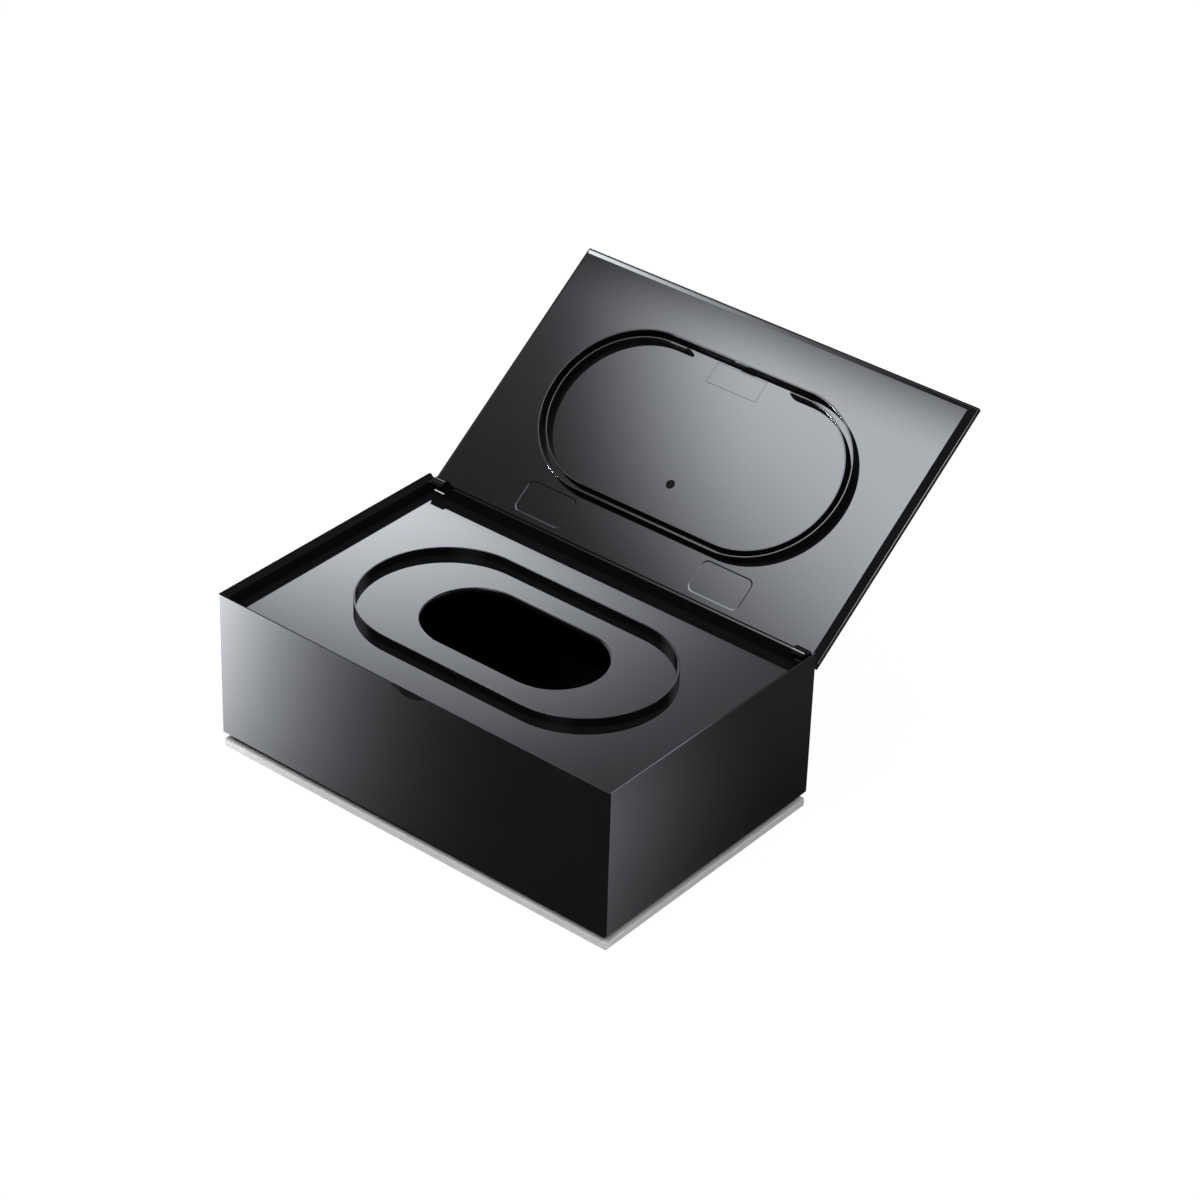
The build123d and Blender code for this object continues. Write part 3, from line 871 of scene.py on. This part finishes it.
class WIPES_OT_fastenings(bpy.types.Operator):
    """Sets the screws and the feet at the corners"""
    bl_idname = "wipes.fastenings"
    bl_label = "Screws and feet"

    def execute(self, context):
        f = context.scene.wipes_fastenings
        corners = [(a * f.span_x / 2, b * f.span_y / 2) for a in (-1, 1) for b in (-1, 1)]
        for name, node, body, seat, length in (
                ("screws_deck", "deck_screws", "case", f.deck_seat, DECK_SCREW_LENGTH),
                ("screws_base", "base_screws", "base", f.base_seat, BASE_SCREW_LENGTH)):
            places = [(x, y, seat) for x, y in corners]
            ob = set_piece(name, screw(length), places, SCREW_TURN, finish_of("screw_steel"))
            dress(ob, "screw_steel", body, "screw_steel", node)
        places = [(x, y, 0.0) for x, y in corners]
        ob = set_piece("feet", foot(f.foot_radius), places, 0.0, finish_of("foot_silicone"))
        dress(
            ob, "foot_silicone", "base", "foot_rubber",
            "foot_front_left", "foot_front_right", "foot_rear_left", "foot_rear_right")
        return {"FINISHED"}


# Stage

# Strength of the floor where it is seen directly, and the share of that light there
FLOOR_LIGHT = 1.02
FLOOR_SHARE = 0.95
FLOOR_LEVEL = -0.04 * MM
FLOOR_REACH = 4.0
CARD_COLOUR = (0.965, 1.0, 1.06, 1.0)
SURROUND_RADIUS = 1.6
SURROUND_LIGHT = 0.09
# Soft windows of the surround: direction, light, inner and outer angle in degrees
WINDOWS = (
    ((0, 0, 1), 0.35, 8, 26),
    ((0.1, 0.654, 0.735), 3.0, 4, 12),
    ((-0.95, 0.0, 0.3), 1.8, 10, 30),
    ((0.9, 0.38, 0.2), 1.4, 8, 26),
    ((0.22, -0.93, 0.3), 1.4, 8, 28),
    ((0.0, 0.95, 0.3), 1.4, 10, 28),
)
# Name, place, size and power
LAMPS = (
    ("key", (-0.45, -0.75, 1.3), 0.6, 16.0),
    ("fill", (0.9, -0.25, 1.3), 0.6, 12.0),
    ("top", (0.0, 0.2, 1.5), 1.2, 10.0),
)
LAMP_TARGET = Vector((0, 0, 0.05))
SOFT_LIGHT = 0.15
SOFT_COLOUR = (0.97, 0.98, 1.0, 1)
CAMERA_AT = (0.77421, -0.91366, 0.86470)
CAMERA_AZIMUTH, CAMERA_HEIGHT, CAMERA_ROLL = (math.radians(v) for v in (38.7065, 33.0706, 1.8537))
CAMERA_LENS = 110.713


def maths(tree, operation, *values):
    """A Math node on numbers or sockets."""
    m = tree.nodes.new("ShaderNodeMath")
    m.operation = operation
    for k, v in enumerate(values):
        if isinstance(v, (int, float)):
            m.inputs[k].default_value = v
        else:
            tree.links.new(v, m.inputs[k])
    return m.outputs[0]


def fall(tree, direction, begin, end, low, high, kind="SMOOTHSTEP"):
    """A value that goes from low to high as the place on the card moves along a direction."""
    place, dot = tree.nodes.new("ShaderNodeTexCoord"), tree.nodes.new("ShaderNodeVectorMath")
    dot.operation = "DOT_PRODUCT"
    dot.inputs[1].default_value = direction
    wire(tree, (place, "Object", dot, 0))
    return ramp(tree, dot.outputs["Value"], low, high, begin, end, kind)


def seen_directly(tree):
    """1 for the camera's rays, mirrored rays and rays through glass, and 0 for the light that falls on things."""
    rays = tree.nodes.new("ShaderNodeLightPath").outputs
    seen = maths(tree, "MAXIMUM", rays["Is Camera Ray"], rays["Is Glossy Ray"])
    return maths(tree, "MAXIMUM", seen, rays["Is Transmission Ray"])


def glow(tree, strength):
    """Makes a material that only shines."""
    out, light = tree.nodes.new("ShaderNodeOutputMaterial"), tree.nodes.new("ShaderNodeEmission")
    light.inputs["Color"].default_value = CARD_COLOUR
    tree.links.new(strength, light.inputs["Strength"])
    wire(tree, (light, "Emission", out, "Surface"))


def card_material(name, low, high, along, start, width, across, cross_start, cross_width, cross_low, window, soft):
    """A light card that falls off along one direction and, more gently, across it, and ends softly round a window."""
    m, tree = blank_material(name)
    lengthwise = fall(tree, (*along, 0), start, start + width, 0.0, 1.0)
    crosswise = fall(tree, (*across, 0), cross_start, cross_start + cross_width, cross_low, 1.0)
    value = maths(tree, "MULTIPLY_ADD", maths(tree, "MULTIPLY", lengthwise, crosswise), high, low)
    x0, x1, y0, y1 = window
    for direction, edge in (((1, 0, 0), x0), ((-1, 0, 0), -x1), ((0, 1, 0), y0), ((0, -1, 0), -y1)):
        value = maths(tree, "MULTIPLY", value, fall(tree, direction, edge - soft, edge, 0.0, 1.0))
    glow(tree, value)
    return m


def slope_material(name, low, high, along, start, width, power, edge):
    """A light card that falls off along one direction by a power, and is dimmed towards an edge by a painted shadow of
    the box.
    """
    m, tree = blank_material(name)
    value = maths(tree, "POWER", fall(tree, along, start - 2 * width, start + width, 3.0, 0.0, "LINEAR"), power)
    value = maths(tree, "MULTIPLY_ADD", value, high, low)
    # The edge term is painted shadow: it darkens the card next to the box
    direction, begin, end, painted_shadow_least = edge
    glow(tree, maths(tree, "MULTIPLY", value, fall(tree, direction, begin, end, painted_shadow_least, 1.0)))
    return m


def surround_material(name):
    """The dim surround with its soft bright windows."""
    m, tree = blank_material(name)
    value = SURROUND_LIGHT
    for direction, light, inner, outer in WINDOWS:
        d = Vector(direction).normalized() / SURROUND_RADIUS
        window = fall(tree, d, math.cos(math.radians(outer)), math.cos(math.radians(inner)), 0.0, light)
        value = maths(tree, "ADD", window, value)
    glow(tree, value)
    return m


def mirror_only(ob):
    """Only mirror reflections see this."""
    ob.visible_camera = ob.visible_diffuse = ob.visible_shadow = False
    ob.visible_transmission = ob.visible_volume_scatter = False


def plate(name, corners, material):
    """A flat face for the stage."""
    me = bpy.data.meshes.new(name)
    me.from_pydata(corners, [], [(0, 1, 2, 3)])
    me.materials.append(material)
    return link(name, me)


def flat_card(x0, x1, y0, y1, z, material):
    """A level light card that is named for its material."""
    mirror_only(plate(material.name, [(x0, y0, z), (x1, y0, z), (x1, y1, z), (x0, y1, z)], material))


def white_floor():
    """A floor that is seen white and still takes the box's shadow."""
    m, tree = blank_material("floor_white")
    new = tree.nodes.new
    out, mix, cloth, light = (new("ShaderNode" + kind) for kind in (
        "OutputMaterial", "MixShader", "BsdfDiffuse", "Emission"))
    cloth.inputs["Color"].default_value = (0.9, 0.9, 0.9, 1)
    light.inputs["Color"].default_value = (1, 1, 1, 1)
    light.inputs["Strength"].default_value = FLOOR_LIGHT
    tree.links.new(maths(tree, "MULTIPLY", seen_directly(tree), FLOOR_SHARE), mix.inputs["Fac"])
    wire(tree, (cloth, 0, mix, 1), (light, 0, mix, 2), (mix, 0, out, "Surface"))
    r, z = FLOOR_REACH, FLOOR_LEVEL
    plate("floor", [(-r, -r, z), (r, -r, z), (r, r, z), (-r, r, z)], m)


def cards_overhead():
    """The cards that are seen in the deck, in the open lid and in the lid's front bevel."""
    flat_card(-0.69, -0.27, 0.42, 0.695, 0.56, card_material(
        "card_deck", low=0.02, high=9.33, along=(0.215, 0.977), start=0.2061, width=0.2863,
        across=(-0.999, -0.045), cross_start=0.2899, cross_width=0.4462, cross_low=0.058,
        window=(-0.635, -0.325, 0.475, 0.64), soft=0.055))
    flat_card(-0.47, -0.045, -0.155, 0.11, 0.50, card_material(
        "card_lid", low=0.293, high=9.63, along=(0.328, 0.945), start=-0.2283, width=0.1969,
        across=(0.994, 0.111), cross_start=-0.3713, cross_width=0.1629, cross_low=0.076,
        window=(-0.415, -0.10, -0.103, 0.022), soft=0.055))
    bevel = slope_material(
        "card_bevel", low=0.05, high=6.5, along=(1, 0, 0), start=-0.37, width=0.314, power=4.0,
        edge=((0, 0, 1), 0.25, 0.28, 0.0))
    mirror_only(plate(
        "card_bevel", [(-0.44, 0.6, 0.25), (-0.1, 0.6, 0.25), (-0.1, 0.6, 0.40), (-0.44, 0.6, 0.40)], bevel))


def cards_on_floor():
    """The cards that are seen in the four outer walls, each dimmed near the box by a painted shadow of the box on the
    floor.
    """
    flat_card(-0.45, 0.45, -0.45, -0.0622, 0.0001, slope_material(
        "card_front", low=0.056, high=16.72, along=(0.826, -0.564, 0), start=-0.0877, width=0.2313, power=6.0,
        edge=((0, -1, 0), 0.0622, 0.0925, 0.88)))
    flat_card(0.1, 0.45, -0.0622, 0.45, 0.0001, slope_material(
        "card_right", low=0.112, high=2.75, along=(-0.695, 0.719, 0), start=-0.1596, width=0.1313, power=2.18,
        edge=((1, 0, 0), 0.1, 0.1569, 0.4)))
    flat_card(-0.45, -0.1, -0.0622, 0.10, 0.0001, slope_material(
        "card_left", low=0.11, high=2.4, along=(0.695, -0.719, 0), start=-0.1596, width=0.15, power=2.2,
        edge=((-1, 0, 0), 0.1, 0.1569, 0.4)))
    flat_card(-1.30, 0.1, 0.0622, 1.50, 0.00008, slope_material(
        "card_rear", low=0.06, high=1.6, along=(-0.30, 0.95, 0), start=0.08, width=0.16, power=2.0,
        edge=((0, 1, 0), 0.09, 0.13, 0.05)))


def surround():
    """The upper part of a sphere round the stage."""
    bm = bmesh.new()
    bmesh.ops.create_uvsphere(bm, u_segments=48, v_segments=32, radius=SURROUND_RADIUS)
    bmesh.ops.delete(bm, geom=[v for v in bm.verts if v.co.z < -0.02], context="VERTS")
    ob = mesh_from(bm, "tent")
    ob.data.materials.append(surround_material("tent"))
    mirror_only(ob)


def white_world(scene):
    """A world that is seen white and lights softly."""
    world = bpy.data.worlds.new("studio")
    scene.world = world
    world.use_nodes = True
    tree = world.node_tree
    tree.nodes.clear()
    new = tree.nodes.new
    out, mix, soft, white = (new("ShaderNode" + kind) for kind in (
        "OutputWorld", "MixShader", "Background", "Background"))
    soft.inputs["Color"].default_value = SOFT_COLOUR
    soft.inputs["Strength"].default_value = SOFT_LIGHT
    white.inputs["Color"].default_value = (1, 1, 1, 1)
    white.inputs["Strength"].default_value = 1.0
    tree.links.new(seen_directly(tree), mix.inputs["Fac"])
    wire(tree, (soft, 0, mix, 1), (white, 0, mix, 2), (mix, 0, out, "Surface"))


def lamps():
    """Round lamps above the box that its mirror skin doesn't show."""
    for name, place, size, power in LAMPS:
        data = bpy.data.lights.new(name, "AREA")
        data.shape = "DISK"
        data.size = size
        data.energy = power
        lamp = link(name, data)
        lamp.location = place
        lamp.rotation_mode = "QUATERNION"
        lamp.rotation_quaternion = (LAMP_TARGET - lamp.location).to_track_quat("-Z", "Y")
        lamp.visible_glossy = False


def camera(scene):
    """The camera at the photograph's angle."""
    level = math.cos(CAMERA_HEIGHT)
    back = Vector((
        math.sin(CAMERA_AZIMUTH) * level, -math.cos(CAMERA_AZIMUTH) * level, math.sin(CAMERA_HEIGHT)))
    right = Vector((math.cos(CAMERA_AZIMUTH), math.sin(CAMERA_AZIMUTH), 0))
    up = back.cross(right)
    rolled_right = math.cos(CAMERA_ROLL) * right + math.sin(CAMERA_ROLL) * up
    rolled_up = -math.sin(CAMERA_ROLL) * right + math.cos(CAMERA_ROLL) * up
    data = bpy.data.cameras.new("camera")
    data.sensor_fit = "HORIZONTAL"
    data.sensor_width = 36.0
    data.lens = CAMERA_LENS
    data.clip_start, data.clip_end = 0.05, 20.0
    ob = link("camera", data)
    turn = Matrix((rolled_right, rolled_up, back)).transposed()
    ob.matrix_world = Matrix.Translation(CAMERA_AT) @ turn.to_4x4()
    scene.camera = ob


class WIPES_OT_stage(bpy.types.Operator):
    """Makes the floor, the cards, the surround, the world, the lamps and the camera"""
    bl_idname = "wipes.stage"
    bl_label = "Stage"

    def execute(self, context):
        white_floor()
        cards_overhead()
        cards_on_floor()
        surround()
        white_world(context.scene)
        lamps()
        camera(context.scene)
        context.scene.view_settings.view_transform = "Standard"
        return {"FINISHED"}


# Panel

class WIPES_PT_panel(bpy.types.Panel):
    bl_idname = "WIPES_PT_panel"
    bl_label = "Wipes box"
    bl_space_type = "VIEW_3D"
    bl_region_type = "UI"
    bl_category = "Wipes box"

    def draw(self, context):
        for step in STEPS:
            self.layout.operator(step.bl_idname)


STEPS = (WIPES_OT_sleeve, WIPES_OT_deck, WIPES_OT_lid, WIPES_OT_base, WIPES_OT_fastenings, WIPES_OT_stage)
CLASSES = (BoxEdges, BoxWalls, BoxFastenings, *STEPS, WIPES_PT_panel)


def register():
    for c in CLASSES:
        bpy.utils.register_class(c)
    bpy.types.Scene.wipes_edges = bpy.props.PointerProperty(type=BoxEdges)
    bpy.types.Scene.wipes_walls = bpy.props.PointerProperty(type=BoxWalls)
    bpy.types.Scene.wipes_fastenings = bpy.props.PointerProperty(type=BoxFastenings)


def unregister():
    del bpy.types.Scene.wipes_edges, bpy.types.Scene.wipes_walls, bpy.types.Scene.wipes_fastenings
    for c in reversed(CLASSES):
        bpy.utils.unregister_class(c)


def main():
    clear_start()
    register()
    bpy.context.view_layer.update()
    bpy.ops.wipes.sleeve()
    bpy.ops.wipes.deck()
    bpy.ops.wipes.lid()
    bpy.ops.wipes.base()
    bpy.ops.wipes.fastenings()
    bpy.ops.wipes.stage()


if __name__ == "__main__":
    main()
